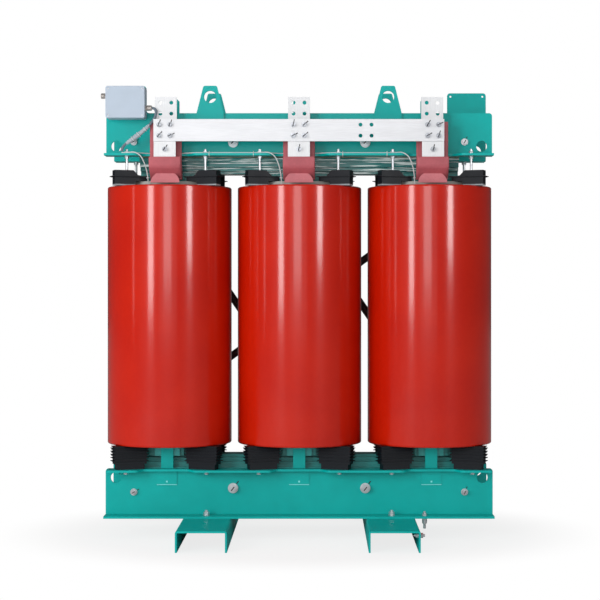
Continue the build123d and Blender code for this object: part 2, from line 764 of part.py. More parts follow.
# Bolts that locate each bottom block on the clamp flange, screwed up into the block.
with BuildPart() as seat_bolt:
    Cylinder(
        m12[0],
        plate_t + block_base_h - hole_clearance,
        align=(Align.CENTER, Align.CENTER, Align.MIN),
    )
    add(washer_and_nut(m12).mirror(Plane.XY))
with BuildPart() as seat_bolts:
    for phase_x in phases.values():
        with Locations((phase_x, 0, bottom_clamp_top_z - plate_t)):
            with GridLocations(2 * seat_bolt_x, 2 * seat_bolt_y, 2, 2):
                add(seat_bolt.part)
seat_bolts.part.label = "seat_bolts"
export_step(seat_bolts.part, "parts/seat_bolts.step")

# Pressing studs: each stands on a top block and is nutted above and below the flange.
with BuildPart() as press_stud:
    Cylinder(
        m12[0],
        top_clamp_z + plate_t + press_stud_tail - press_block_top_z,
        align=(Align.CENTER, Align.CENTER, Align.MIN),
    )
    with Locations((0, 0, top_clamp_z + plate_t - press_block_top_z)):
        add(washer_and_nut(m12))
    with Locations((0, 0, top_clamp_z - press_block_top_z)):
        add(washer_and_nut(m12).mirror(Plane.XY))
with BuildPart() as press_studs:
    for phase_x in phases.values():
        with Locations((phase_x, 0, press_block_top_z)):
            with GridLocations(2 * press_stud_x, 2 * press_stud_y, 2, 2):
                add(press_stud.part)
press_studs.part.label = "press_studs"
export_step(press_studs.part, "parts/press_studs.step")

# Thin pads under the outer part of each top block, on the rim of the high-voltage winding.
with BuildPart() as press_pads:
    pad_l = block_l / 2 + press_step_shift
    for phase_x in phases.values():
        with BuildPart(mode=Mode.PRIVATE) as pad:
            with BuildSketch(block_plane(phase_x, hv_top_z)):
                with Locations(((block_l - pad_l) / 2, 0)):
                    Rectangle(pad_l, block_w)
            extrude(amount=pad_t)
            mirror(about=Plane.YZ.offset(phase_x))
            mirror(about=Plane.XZ)
        add(pad.part)
press_pads.part.label = "press_pads"
export_step(press_pads.part, "parts/press_pads.step")

# Earthing stud through the front clamp and earthing bolt through the outer wall of a foot.
with BuildPart() as earth_stud:
    Cylinder(
        m12[0],
        earth_stud_drop + plate_t + nut_stack + thread_tail,
        align=(Align.CENTER, Align.CENTER, Align.MIN),
    )
    with Locations((0, 0, earth_stud_drop + plate_t)):
        add(washer_and_nut(m12))
    with Locations((0, 0, earth_stud_drop), (0, 0, earth_stud_drop - nut_stack)):
        add(washer_and_nut(m12).mirror(Plane.XY))
foot_wall_x = foot_x + foot_width / 2
with BuildPart() as earth_bolts:
    with Locations((earth_stud_x, earth_stud_y, bottom_clamp_z - earth_stud_drop)):
        add(earth_stud.part)
    with Locations(Plane((foot_wall_x, foot_earth_y, foot_earth_z), z_dir=(-1, 0, 0))):
        add(clamped_stud(foot_wall, m12))
earth_bolts.part.label = "earth_bolts"
export_step(earth_bolts.part, "parts/earth_bolts.step")


# ================================================================ high-voltage terminals
# Each winding ends in a post on its boss.  Three tubes join the posts in delta: two short
# ones from the top of one coil to the bottom of the next, one long one from first to last.
phase_x_list = list(phases.values())
delta_links = {
    "delta_tube_ab": (phase_x_list[0], hv_top_terminal_z, phase_x_list[1], hv_bottom_terminal_z),
    "delta_tube_bc": (phase_x_list[1], hv_top_terminal_z, phase_x_list[2], hv_bottom_terminal_z),
    "delta_tube_ca": (phase_x_list[0], hv_bottom_terminal_z, phase_x_list[2], hv_top_terminal_z),
}
delta_depths = {
    "delta_tube_ab": short_delta_y,
    "delta_tube_bc": short_delta_y,
    "delta_tube_ca": long_delta_y,
}

for name, (x0, z0, x1, z1) in delta_links.items():
    tube_y = delta_depths[name]
    span = hypot(x1 - x0, z1 - z0)
    tube_plane = Plane((x0, tube_y, z0), x_dir=(0, 1, 0), z_dir=(x1 - x0, 0, z1 - z0))
    lug_plane = Plane((x0, tube_y, z0), x_dir=(x1 - x0, 0, z1 - z0), z_dir=(0, 1, 0))
    with BuildPart() as delta_tube:
        with BuildSketch(tube_plane.offset(delta_lug_l)):
            Circle(delta_r)
        extrude(amount=span - 2 * delta_lug_l)
        with BuildSketch(lug_plane.offset(-delta_lug_t / 2)):
            with Locations((span / 2, 0)):
                SlotCenterToCenter(span, delta_lug_w)
            with Locations((0, 0), (span, 0)):
                Circle(shank_hole_r(m12), mode=Mode.SUBTRACT)
        extrude(amount=delta_lug_t)
    delta_tube.part.label = name
    export_step(delta_tube.part, f"parts/{name}.step")

with BuildPart() as hv_posts:
    for name, (x0, z0, x1, z1) in delta_links.items():
        collar_l = delta_depths[name] - delta_lug_t / 2 - boss_reach
        for x, z in ((x0, z0), (x1, z1)):
            with BuildPart(mode=Mode.PRIVATE) as post:
                Cylinder(post_r, collar_l, align=(Align.CENTER, Align.CENTER, Align.MIN))
                with Locations((0, 0, collar_l)):
                    Cylinder(
                        m12[0],
                        delta_lug_t + m12[2] + m12[4] + thread_tail,
                        align=(Align.CENTER, Align.CENTER, Align.MIN),
                    )
                with Locations((0, 0, collar_l + delta_lug_t)):
                    add(washer_and_nut(m12))
            with Locations(Plane((x, boss_reach, z), z_dir=(0, 1, 0))):
                add(post.part)
hv_posts.part.label = "hv_posts"
export_step(hv_posts.part, "parts/hv_posts.step")

# Tap posts in two columns half way up each boss, and one flat link across each coil's taps.
boss_mid_z = coil_bottom_z + hv_height / 2
tap_plane = Plane((0, boss_reach, boss_mid_z), x_dir=(-1, 0, 0), z_dir=(0, 1, 0))
with BuildPart() as tap_posts:
    for phase_x in phases.values():
        with BuildPart(mode=Mode.PRIVATE) as tap_post:
            Cylinder(tap_post_r, tap_post_l, align=(Align.CENTER, Align.CENTER, Align.MIN))
            Cylinder(
                m12[0],
                tap_post_l + tap_link_t + thread_tail,
                align=(Align.CENTER, Align.CENTER, Align.MIN),
            )
        with Locations(tap_plane):
            with Locations((-phase_x, 0)):
                with GridLocations(tap_column_pitch, tap_row_pitch, 2, tap_rows):
                    add(tap_post.part)
tap_posts.part.label = "tap_posts"
export_step(tap_posts.part, "parts/tap_posts.step")

with BuildPart() as tap_links:
    with BuildSketch(tap_plane.offset(tap_post_l)):
        with Locations(*[(-x, 0) for x in phases.values()]):
            SlotCenterToCenter(tap_column_pitch, tap_link_w)
        with Locations(*[(-x, 0) for x in phases.values()]):
            with GridLocations(tap_column_pitch, tap_row_pitch, 2, 1):
                Circle(shank_hole_r(m12), mode=Mode.SUBTRACT)
    extrude(amount=tap_link_t)
tap_links.part.label = "tap_links"
export_step(tap_links.part, "parts/tap_links.step")


# ================================================================ junction box
box_back = Plane((box_x, -web_outer_y, box_z), x_dir=(1, 0, 0), z_dir=(0, -1, 0))
screw_grid = (box_w - 2 * lid_screw_inset, box_h - 2 * lid_screw_inset, 2, 2)
with BuildPart() as box_base:
    with BuildSketch(box_back):
        RectangleRounded(box_w, box_h, box_corner_r)
    extrude(amount=box_base_d)
    with BuildSketch(box_back.offset(box_wall)):
        RectangleRounded(box_w - 2 * box_wall, box_h - 2 * box_wall, box_corner_r - box_wall)
    extrude(amount=box_base_d - box_wall, mode=Mode.SUBTRACT)
    for wall_x, gland_z in (
        (box_x - box_w / 2, left_gland_z),
        (box_x + box_w / 2, right_gland_z),
    ):
        with BuildSketch(Plane.YZ.offset(wall_x)):
            with Locations((gland_y, gland_z)):
                Circle(gland_bore_r + hole_clearance)
        extrude(amount=box_wall, both=True, mode=Mode.SUBTRACT)
box_base.part.label = "box_base"
export_step(box_base.part, "parts/box_base.step")

with BuildPart() as box_lid:
    with BuildSketch(box_back.offset(box_base_d)):
        RectangleRounded(box_w, box_h, box_corner_r)
    extrude(amount=box_lid_d)
    fillet(box_lid.faces().sort_by(Axis.Y)[0].edges(), radius=box_wall)
    with BuildSketch(box_back.offset(box_base_d)):
        RectangleRounded(box_w - 2 * box_wall, box_h - 2 * box_wall, box_corner_r - box_wall)
    extrude(amount=box_lid_d - box_wall, mode=Mode.SUBTRACT)
    with BuildSketch(box_back.offset(box_base_d + box_lid_d - box_wall)):
        with GridLocations(*screw_grid):
            Circle(lid_screw_r)
    extrude(amount=box_wall, mode=Mode.SUBTRACT)
box_lid.part.label = "box_lid"
export_step(box_lid.part, "parts/box_lid.step")

with BuildPart() as lid_screws:
    with BuildSketch(box_back.offset(box_wall)):
        with GridLocations(*screw_grid):
            Circle(lid_screw_r)
    extrude(amount=box_base_d + box_lid_d - 2 * box_wall - hole_clearance / 2)
lid_screws.part.label = "lid_screws"
export_step(lid_screws.part, "parts/lid_screws.step")

# Terminal strip inside the box, a row of seven ways on its back wall.
strip_ways = 7
strip_pitch = 16.0
strip_h = 32.0
strip_d = 26.0
with BuildPart() as terminal_strip:
    with BuildSketch(box_back.offset(box_wall)):
        Rectangle(strip_ways * strip_pitch, strip_h)
    extrude(amount=strip_d)
    with BuildSketch(box_back.offset(box_wall + strip_d / 2)):
        with GridLocations(strip_pitch, 1, strip_ways - 1, 1):
            Rectangle(2, strip_h)
    extrude(amount=strip_d, mode=Mode.SUBTRACT)
terminal_strip.part.label = "terminal_strip"
export_step(terminal_strip.part, "parts/terminal_strip.step")

# Metal cable glands: hexagon flange, round cap and a bore right through.
for name, wall_x, side, gland_z, gland_l in (
    ("gland_left", box_x - box_w / 2, -1, left_gland_z, left_gland_l),
    ("gland_right", box_x + box_w / 2, 1, right_gland_z, right_gland_l),
):
    gland_plane = Plane((wall_x, gland_y, gland_z), x_dir=(0, 1, 0), z_dir=(side, 0, 0))
    with BuildPart() as gland:
        with BuildSketch(gland_plane):
            RegularPolygon(gland_r, 6)
        extrude(amount=gland_hex_l)
        with BuildSketch(gland_plane.offset(gland_hex_l)):
            Circle(gland_r - hole_clearance)
        extrude(amount=gland_l - gland_hex_l)
        chamfer(gland.faces().sort_by(Axis.X)[-1 if side > 0 else 0].edges(), length=2)
        with BuildSketch(gland_plane):
            Circle(gland_bore_r)
        extrude(amount=gland_l, mode=Mode.SUBTRACT)
    gland.part.label = name
    export_step(gland.part, f"parts/{name}.step")


# ================================================================ sensor wiring
def fillet_radii(points):
    """Largest radius for each corner of a route that its two runs leave room for."""
    radii = []
    for before, here, after in zip(points, points[1:], points[2:]):
        run_in = Vector(*here) - Vector(*before)
        run_out = Vector(*after) - Vector(*here)
        turn = radians(run_in.get_angle(run_out))
        radii.append(0.45 * min(run_in.length, run_out.length) / tan(turn / 2))
    return radii


def round_cord(points, radius):
    """Round cord of straight runs and tangent arcs through a list of points."""
    radii = fillet_radii(points)
    with BuildPart() as cord:
        with BuildLine() as route:
            FilletPolyline(*points, radius=radii)
        first_run = Vector(*points[1]) - Vector(*points[0])
        with BuildSketch(Plane(points[0], z_dir=first_run)):
            Circle(radius)
        sweep(path=route.wires()[0])
    print("length", round(route.wires()[0].length, 1), "radii", [round(r, 1) for r in radii])
    return cord.part


# Screened cable: out of the right gland, back down across the ear to the flange edge.
cable_start_x = box_x + box_w / 2
cable_points = [
    (cable_start_x, gland_y, right_gland_z),
    (cable_start_x + 42, gland_y, right_gland_z),
    (cable_start_x + 51, gland_y - 6, right_gland_z - 17),
    (cable_start_x + 46, gland_y - 10, right_gland_z - 42),
    (cable_start_x + 29, gland_y - 12, right_gland_z - 70),
    (cable_start_x + 4, gland_y - 13, right_gland_z - 95),
    (cable_start_x - 24, gland_y - 14, right_gland_z - 118),
    (cable_start_x - 55, gland_y - 14, right_gland_z - 143),
    (cable_start_x - 88, gland_y - 13, right_gland_z - 163),
    (cable_start_x - 104, gland_y - 12, right_gland_z - 182),
    (cable_start_x - 106, gland_y - 12, right_gland_z - 198),
]
with BuildPart() as sensor_cable:
    add(round_cord(cable_points, cable_r))
sensor_cable.part.label = "sensor_cable"
export_step(sensor_cable.part, "parts/sensor_cable.step")

# Sensor leads: side by side along the flange, each down into the duct of its own coil.
lead_z = top_clamp_z + plate_t + lead_r
lead_start_x = cable_points[-1][0]
duct_x = -80.0
duct_y = -202.0


def lead_drop(phase_x, lane_y):
    """Last stretch of a lead: off the flange in an arc and down between the windings."""
    return [
        (phase_x - 178, lane_y, lead_z),
        (phase_x - 138, lane_y - 9, lead_z + 3),
        (phase_x - 109, lane_y - 17, lead_z - 16),
        (phase_x - 91, lane_y - 8, lead_z - 56),
        (phase_x + duct_x - 2, (lane_y + duct_y) / 2, lead_z - 100),
        (phase_x + duct_x, duct_y, lead_z - 142),
        (phase_x + duct_x, duct_y + 1, lead_z - 186),
    ]


def lead_pass(phase_x, lane_y):
    """Stretch past a coil axis, drawn in behind the bars over the waist of the flange."""
    inner_y = lane_y + (flange_reach - flange_waist)
    return [
        (phase_x - 165, lane_y, lead_z),
        (phase_x - 120, (lane_y + inner_y) / 2, lead_z + 0.4),
        (phase_x - 75, inner_y, lead_z),
        (phase_x - 15, inner_y + 1, lead_z + 0.4),
        (phase_x + 45, inner_y, lead_z),
        (phase_x + 105, (lane_y + inner_y) / 2, lead_z + 0.4),
        (phase_x + 150, lane_y, lead_z),
    ]


def lead_run(start_x, end_x, lane_y):
    """Nearly straight stretch along the flange, in runs of about sixty millimetres."""
    count = max(1, round((end_x - start_x) / 60))
    step = (end_x - start_x) / count
    return [
        (start_x + i * step, lane_y + (0.5 if i % 2 else -0.3), lead_z + (0.3 if i % 2 else 0))
        for i in range(1, count)
    ]


with BuildPart() as sensor_leads:
    for lane, phase_x in enumerate(phases.values()):
        lane_y = -flange_reach + lead_edge + lane * lead_spacing
        lead_points = [
            (lead_start_x - 1, lane_y, lead_z),
            (lead_start_x + 14, lane_y + 0.6, lead_z),
        ]
        passed = [x for x in phases.values() if x < phase_x]
        run_from = lead_start_x + 14
        for passed_x in passed:
            pass_points = lead_pass(passed_x, lane_y)
            lead_points += lead_run(run_from, pass_points[0][0], lane_y)
            lead_points += pass_points
            run_from = pass_points[-1][0]
        drop_points = lead_drop(phase_x, lane_y)
        lead_points += lead_run(run_from, drop_points[0][0], lane_y)
        lead_points += drop_points
        add(round_cord(lead_points, lead_r))
sensor_leads.part.label = "sensor_leads"
export_step(sensor_leads.part, "parts/sensor_leads.step")
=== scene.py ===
# %% [markdown]
# # A dry type transformer in a white studio
#
# A dry type transformer changes a town's medium voltage to the voltage of a building without any oil.
# Its high-voltage windings are cast in red epoxy resin, its iron core and clamps are enamelled green,
# and flat tinned bars bring the low voltage out in front.
#
# The script starts with the packed CAD part. Every solid keeps its place, and what is added here is
# skin: finishes, sleeves, ties and wraps that are too soft or too fine for a CAD model.

import json
import math

import bpy
import numpy as np
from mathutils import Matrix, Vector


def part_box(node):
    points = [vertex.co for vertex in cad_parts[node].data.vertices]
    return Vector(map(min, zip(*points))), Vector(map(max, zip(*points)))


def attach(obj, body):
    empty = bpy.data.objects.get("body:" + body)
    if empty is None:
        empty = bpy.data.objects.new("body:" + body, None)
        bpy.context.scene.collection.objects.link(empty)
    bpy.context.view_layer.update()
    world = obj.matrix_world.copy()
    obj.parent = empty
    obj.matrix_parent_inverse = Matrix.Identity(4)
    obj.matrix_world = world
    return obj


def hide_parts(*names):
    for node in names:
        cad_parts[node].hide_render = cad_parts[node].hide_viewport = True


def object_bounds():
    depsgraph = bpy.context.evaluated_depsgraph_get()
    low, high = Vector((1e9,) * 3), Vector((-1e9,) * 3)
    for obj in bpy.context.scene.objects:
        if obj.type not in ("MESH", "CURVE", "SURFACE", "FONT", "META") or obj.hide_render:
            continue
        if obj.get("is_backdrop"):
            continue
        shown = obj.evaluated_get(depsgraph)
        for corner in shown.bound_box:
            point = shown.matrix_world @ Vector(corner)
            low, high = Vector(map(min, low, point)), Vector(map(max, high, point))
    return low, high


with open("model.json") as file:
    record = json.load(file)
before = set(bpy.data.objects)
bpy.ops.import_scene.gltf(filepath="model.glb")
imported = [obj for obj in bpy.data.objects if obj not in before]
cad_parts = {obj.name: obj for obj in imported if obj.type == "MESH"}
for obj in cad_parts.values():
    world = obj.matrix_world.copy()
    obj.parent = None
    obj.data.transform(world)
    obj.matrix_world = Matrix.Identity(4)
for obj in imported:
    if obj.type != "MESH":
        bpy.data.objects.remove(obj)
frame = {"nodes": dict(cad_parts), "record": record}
nodes = frame["nodes"]
cad_low, cad_high = (np.array(corner, dtype=float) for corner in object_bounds())
print("CAD box", cad_low.round(3), cad_high.round(3), "metres,", len(nodes), "nodes")

# %% [markdown]
# ## Camera
#
# The camera looks straight at the low-voltage side from nearly eight metres, a little right of the
# middle and at about half its height. Tilting it would frame the object too, but then the verticals lean,
# so it stays level and the lens shift moves the object in the picture. A long lens keeps the depth of the
# frame small.

# %% Camera
camera_data = bpy.data.cameras.new("camera")
camera_data.lens = 98.2
camera_data.sensor_width = 36.0
camera_data.shift_x = -0.0333
camera_data.shift_y = -0.025
camera = bpy.data.objects.new("camera", camera_data)
camera.location = (0.096, -7.70, 1.160)
camera.rotation_euler = (math.radians(90), 0, 0)
bpy.context.scene.collection.objects.link(camera)
bpy.context.scene.camera = camera
print("camera", round(-camera.location.y, 2), "m in front of the middle limb")

# %% [markdown]
# ## Shader sums
#
# A finish is mostly arithmetic on a place in space: how rough, how cloudy, how far the tint has drifted.
# Wired by hand that takes dozens of nodes, so one small class wraps an output socket and lets it be
# added, subtracted and multiplied like a number. Its method `node` makes a node of any type: settings
# first, then numbers or other wires into its sockets.


# %% The wire class
class Wire:
    """An output socket of a shader tree that takes part in sums."""

    def __init__(self, tree, socket):
        self.tree = tree
        self.socket = socket

    def node(self, kind, settings, inputs, output=0):
        """Adds a node: settings are set first, then each input gets its number or its link."""
        made = self.tree.nodes.new("ShaderNode" + kind)
        for key, value in settings.items():
            setattr(made, key, value)
        for key, value in inputs.items():
            if isinstance(value, Wire):
                self.tree.links.new(value.socket, made.inputs[key])
            else:
                made.inputs[key].default_value = value
        return Wire(self.tree, made.outputs[output])

    def math(self, operation, first, second):
        """A Math node on two numbers or wires."""
        return self.node("Math", {"operation": operation}, {0: first, 1: second})

    def __add__(self, other):
        return self.math("ADD", self, other)

    def __radd__(self, other):
        return self.math("ADD", other, self)

    def __sub__(self, other):
        return self.math("SUBTRACT", self, other)

    def __rsub__(self, other):
        return self.math("SUBTRACT", other, self)

    def __mul__(self, other):
        return self.math("MULTIPLY", self, other)

    def __rmul__(self, other):
        return self.math("MULTIPLY", other, self)

    def stretched(self, x, y, z):
        """The same vector, scaled along each axis."""
        return self.node("VectorMath", {"operation": "MULTIPLY"}, {0: self, 1: (x, y, z)})

    def axis(self, index):
        """One coordinate of a vector: 0, 1 or 2."""
        return self.node("SeparateXYZ", {}, {0: self}, output=index)

    def noise(self, scale, detail=3.0):
        """Smooth random numbers between 0 and 1 that belong to the place."""
        return self.node("TexNoise", {}, {"Vector": self, "Scale": scale, "Detail": detail})

    def ramp(self, low, high):
        """0 below low, 1 above high and a soft slope between."""
        settings = {"interpolation_type": "SMOOTHSTEP"}
        return self.node("MapRange", settings, {"Value": self, "From Min": low, "From Max": high})

    def mix(self, first, second):
        """A colour from first at 0 to second at 1."""
        return self.node("Mix", {"data_type": "RGBA"}, {0: self, 6: first, 7: second}, output=2)


print("Wire can", sorted(name for name in vars(Wire) if not name.startswith("__")))

# %% [markdown]
# ## Opening and closing a material
#
# Every finish begins with the place of a point on its piece and ends in one Principled shader. Unwrapping
# each solid for an image would work, but a pattern in space needs no seams: each piece has its origin at
# the origin of the whole part, so a pattern on Object coordinates runs on from piece to piece. Relief as
# fine as an orange peel is a bump, since real geometry would take millions of faces.

# %% Start and close
finishes = {}


def start(name):
    """Opens a new finish and returns the object-space place as its first wire."""
    material = bpy.data.materials.new(name)
    material.use_nodes = True
    tree = material.node_tree
    tree.nodes.clear()
    finishes[name] = material
    return Wire(tree, tree.nodes.new("ShaderNodeTexCoord").outputs["Object"])


def close(place, inputs, height, depth):
    """Ends a tree in one Principled shader, with height as a bump of that depth in metres."""
    bump = {"Strength": 1.0, "Distance": depth, "Height": height}
    inputs["Normal"] = place.node("Bump", {}, bump)
    shader = place.node("BsdfPrincipled", {}, inputs)
    output = place.tree.nodes.new("ShaderNodeOutputMaterial")
    place.tree.links.new(shader.socket, output.inputs["Surface"])


def shade(colour, factor):
    """The colour times a factor, with its alpha kept at 1."""
    return tuple(min(1.0, channel * factor) for channel in colour) + (1.0,)


print("a red at half strength", shade((0.6, 0.0, 0.0), 0.5))

# %% [markdown]
# ## Green enamel
#
# The clamps, feet and tie plates are bent sheet steel with a satin turquoise enamel. Sprayed enamel is
# never flat: it has a fine orange peel, a slow drift in tint and patches of more and less gloss. One
# noise could drive all three, but then they would move together and look printed, so three noises of
# falling size share the work. The wiring box is sprayed the same way in a pale grey.


# %% Enamel
def enamel(name, colour, roughness, peel, depth, coat=0.0, tint=0.07):
    """Sprayed paint: slow tint drift, gloss patches and orange peel."""
    place = start(name)
    drift = place.noise(2.3, 4.0)
    patches = place.noise(17.0, 3.0)
    grain = place.noise(peel, 2.0)
    factor = (drift * 0.65 + patches * 0.35).ramp(0.3, 0.7)
    inputs = {
        "Base Color": factor.mix(shade(colour, 1 - tint), shade(colour, 1 + tint)),
        "Roughness": patches * 0.14 + (roughness - 0.07),
        "Coat Weight": coat,
        "Coat Roughness": 0.2,
        "Specular IOR Level": 0.15,
    }
    close(place, inputs, grain, depth)


enamel("frame_green", (0.0, 0.43, 0.40), 0.45, 420.0, 0.0002, coat=0.15)
enamel("box_grey", (0.50, 0.58, 0.68), 0.5, 900.0, 0.00015, tint=0.03)
print("enamel", sorted(finishes))

# %% [markdown]
# ## Laminated core
#
# The core is stacked from steel sheets a third of a millimetre thick, in steps that fill a circle. The
# paint lies over the edges of the sheets, so fine lines run along the lower yoke and up the limbs
# wherever an edge shows. Several hundred modelled sheets would flicker at this distance. Here the lines
# follow the depth of the stack, which is the Y coordinate, so they vanish on the flat faces by
# themselves. A second noise, drawn out along the sheets, breaks them up and lightens the colour in
# streaks along X, which are painted highlight.

# %% Core
place = start("core_green")
line_settings = {"noise_dimensions": "1D"}
line = place.node("TexNoise", line_settings, {"W": place.axis(1), "Scale": 260.0, "Detail": 4.0})
# light streaks along X: painted highlight, mixed into the colour below
highlight_streak = place.stretched(0.6, 60.0, 9.0).noise(3.0, 3.0)
tone = (line * 0.6 + highlight_streak * 0.4).ramp(0.3, 0.7)
core_inputs = {
    "Base Color": tone.mix((0.004, 0.23, 0.215, 1.0), (0.02, 0.42, 0.40, 1.0)),
    "Roughness": highlight_streak * 0.2 + 0.35,
    "Coat Weight": 0.3,
    "Coat Roughness": 0.25,
}
close(place, core_inputs, line, 0.0012)
print("core_green takes", len(place.tree.nodes), "nodes")

# %% [markdown]
# ## Painted glints on the sheet edges
#
# On the top yoke the edges of the sheets show as short bright dashes that run along X. Their near white
# is painted highlight, glints of light on the steps of the stack. A wave texture would give even stripes,
# and the glints are uneven. So two noises, squeezed in Y and Z, are added and cut by a steep ramp: most
# of the face stays dark green and a few dashes come out nearly white, as painted highlights.

# %% Sheet edges
place = start("core_painted_glints")
edge = place.stretched(5.0, 420.0, 150.0).noise(1.0, 2.0)
gap = place.stretched(9.0, 700.0, 260.0).noise(1.0, 2.0)
# the nearly white dashes are painted highlight: glints on the edges of the sheets
painted_glint = (edge * 0.6 + gap * 0.4).ramp(0.52, 0.57)
edge_inputs = {
    "Base Color": painted_glint.mix((0.0, 0.20, 0.19, 1.0), (0.85, 0.98, 0.96, 1.0)),
    "Roughness": 0.5 - painted_glint * 0.2,
    "Coat Weight": 0.3,
}
close(place, edge_inputs, edge, 0.002)
print("core_painted_glints takes", len(place.tree.nodes), "nodes")

# %% [markdown]
# ## Cast resin
#
# The high-voltage winding is cast under vacuum in a polished mould. Its red skin is glossy, but the
# cylinder isn't perfect: the mould leaves shallow waves that make a reflection wander a little, and the
# resin is a touch deeper in tone in patches. One low roughness would give streaks with hard borders, so a
# clear coat lies over a rougher base, for a sharp streak with a soft halo. The low-voltage winding inside
# is only dipped and stays matt.


# %% Resin
def resin(name, light, dark, roughness, coat):
    """Cast resin: cloudy tone, mould waves that are drawn out along Z, and a clear coat."""
    place = start(name)
    cloud = place.noise(4.0, 5.0)
    fleck = place.noise(60.0, 2.0)
    wave = place.stretched(1.0, 1.0, 0.35).noise(9.0, 1.0)
    inputs = {
        "Base Color": (cloud * 0.8 + fleck * 0.2).ramp(0.25, 0.75).mix(dark, light),
        "Roughness": fleck * 0.08 + roughness,
        "Coat Weight": coat,
        "Coat Roughness": 0.13,
        "Specular IOR Level": 0.12,
    }
    close(place, inputs, wave, 0.0006)


resin("hv_resin", (0.60, 0.013, 0.0, 1.0), (0.53, 0.008, 0.0, 1.0), roughness=0.3, coat=1.0)
resin("lv_resin", (0.50, 0.50, 0.47, 1.0), (0.38, 0.38, 0.35, 1.0), roughness=0.6, coat=0.0)
print("resins", [name for name in finishes if name.endswith("resin")])

# %% [markdown]
# ## Metals
#
# The bars are tin plated and brushed lengthwise, so the scratches run up the risers and along the neutral
# bar, and the metal looks almost white in soft light. Nuts and washers are zinc plated, a little cloudy.
# Posts and glands are turned, so their scratches run sideways. The Principled shader's own anisotropy
# could smear the highlights, but it shows no scratch. So a noise is drawn out along the way of the brush,
# and a coarser one, drawn out less, clouds the plating.


# %% Metals
def metal(name, colour, roughness, metallic, brush):
    """Bare plated metal: brush gives how far the scratches are drawn out along X, Y and Z."""
    place = start(name)
    scratch = place.stretched(*brush).noise(900.0, 2.0)
    cloud = place.stretched(*(part**0.4 for part in brush)).noise(18.0, 5.0)
    wear = (cloud * 0.5 + scratch * 0.5).ramp(0.3, 0.7)
    inputs = {
        "Base Color": wear.mix(shade(colour, 0.87), shade(colour, 1.02)),
        "Metallic": metallic,
        "Roughness": scratch * 0.2 + cloud * 0.12 + (roughness - 0.16),
    }
    close(place, inputs, scratch, 0.0001)


upward = (1.0, 1.0, 0.02)
sideways = (0.02, 1.0, 1.0)
turned = (0.05, 1.0, 1.0)
unbrushed = (1.0, 1.0, 1.0)
metal("tinned_bar", (0.87, 0.88, 0.90), 0.42, 0.35, upward)
metal("neutral_bar", (0.88, 0.89, 0.92), 0.42, 0.35, sideways)
metal("zinc", (0.74, 0.76, 0.79), 0.34, 0.8, unbrushed)
# the neutral bolts' zinc is darker than plating: painted shade that the frontal lamps don't give them
metal("shaded_zinc", (0.50, 0.52, 0.56), 0.3, 0.9, unbrushed)
metal("nickel", (0.72, 0.66, 0.62), 0.3, 0.7, turned)
metal("brass", (0.62, 0.52, 0.38), 0.3, 0.85, turned)
print("finishes so far", len(finishes))

# %% [markdown]
# ## Mouldings, rubber and wire
#
# The support blocks are black moulded compound that keeps the fine grain of its mould. Between block and
# steel lie grey elastomer pads. The sleeves over the bars are heat-shrunk and have a dull pink skin, and
# the sensor wiring is soft plastic. They could be eight materials wired by hand. They share one recipe
# instead, since they differ in colour, sheen and size of grain alone.


# %% Plastics
def plastic(name, colour, roughness, grain, depth):
    """Moulded or extruded plastic: cloudy sheen and a fine grain."""
    place = start(name)
    cloud = place.noise(14.0, 4.0)
    skin = place.noise(grain, 3.0)
    factor = (cloud * 0.7 + skin * 0.3).ramp(0.3, 0.7)
    inputs = {
        "Base Color": factor.mix(shade(colour, 0.9), shade(colour, 1.1)),
        "Roughness": cloud * 0.2 + (roughness - 0.1),
        "Specular IOR Level": 0.3,
    }
    close(place, inputs, skin, depth)


plastic("block", (0.007, 0.009, 0.014), 0.5, 300.0, 0.0003)
plastic("pad", (0.30, 0.33, 0.35), 0.7, 500.0, 0.0003)
plastic("insulation", (0.36, 0.25, 0.13), 0.8, 200.0, 0.0004)
plastic("sleeve", (0.47, 0.11, 0.13), 0.5, 90.0, 0.0006)
plastic("delta_black", (0.012, 0.012, 0.014), 0.38, 200.0, 0.0002)
plastic("cable_grey", (0.15, 0.19, 0.23), 0.5, 250.0, 0.0003)
plastic("lead_white", (0.62, 0.66, 0.66), 0.5, 300.0, 0.0002)
plastic("terminal_beige", (0.50, 0.46, 0.33), 0.6, 300.0, 0.0002)
print("finishes in all", len(finishes))

# %% [markdown]
# ## Dress the solids
#
# The record says which finish each solid takes, so the same list serves the packed part and this scene.
# A few pieces differ from the rest of their kind and get a finish of their own.

# %% Assign finishes
slot_of = {entry["node"]: entry["material_slot"] for entry in frame["record"]["subparts"]}
own_finish = {
    # the top yoke's finish paints highlights on its sheet edges
    "top_yoke": "core_painted_glints",
    "neutral_bar": "neutral_bar",
    # a darker zinc on the neutral bolts is painted shade
    "neutral_bolts": "shaded_zinc",
    "gland_left": "nickel",
    "gland_right": "nickel",
}
for name, solid in nodes.items():
    solid.data.materials.clear()
    solid.data.materials.append(finishes[own_finish.get(name, slot_of[name])])
print(len(slot_of), "nodes dressed,", len(own_finish), "of them with a finish of their own")

# %% [markdown]
# ## How the new pieces are made
#
# A soft piece is a grid of points computed in one go: rings of points stand along a path and are joined
# into quads. A curve object with a bevel would make a tube as well, but its width and thickness swell
# together, and a sleeve or a tongue needs them apart. A tube closes round its ring, and its two ends close
# in a fan, so no piece is open. Each piece rides on the one body of the part and takes its finish.


# %% Surface builder
def mesh_piece(name, points, faces, finish):
    """Turns points and faces into a dressed object that rides on the part."""
    mesh = bpy.data.meshes.new(name)
    mesh.from_pydata(points.tolist(), [], faces)
    mesh.validate()
    mesh.shade_smooth()
    mesh.materials.append(finishes[finish])
    piece = bpy.data.objects.new(name, mesh)
    bpy.context.scene.collection.objects.link(piece)
    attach(piece, "root")
    return piece


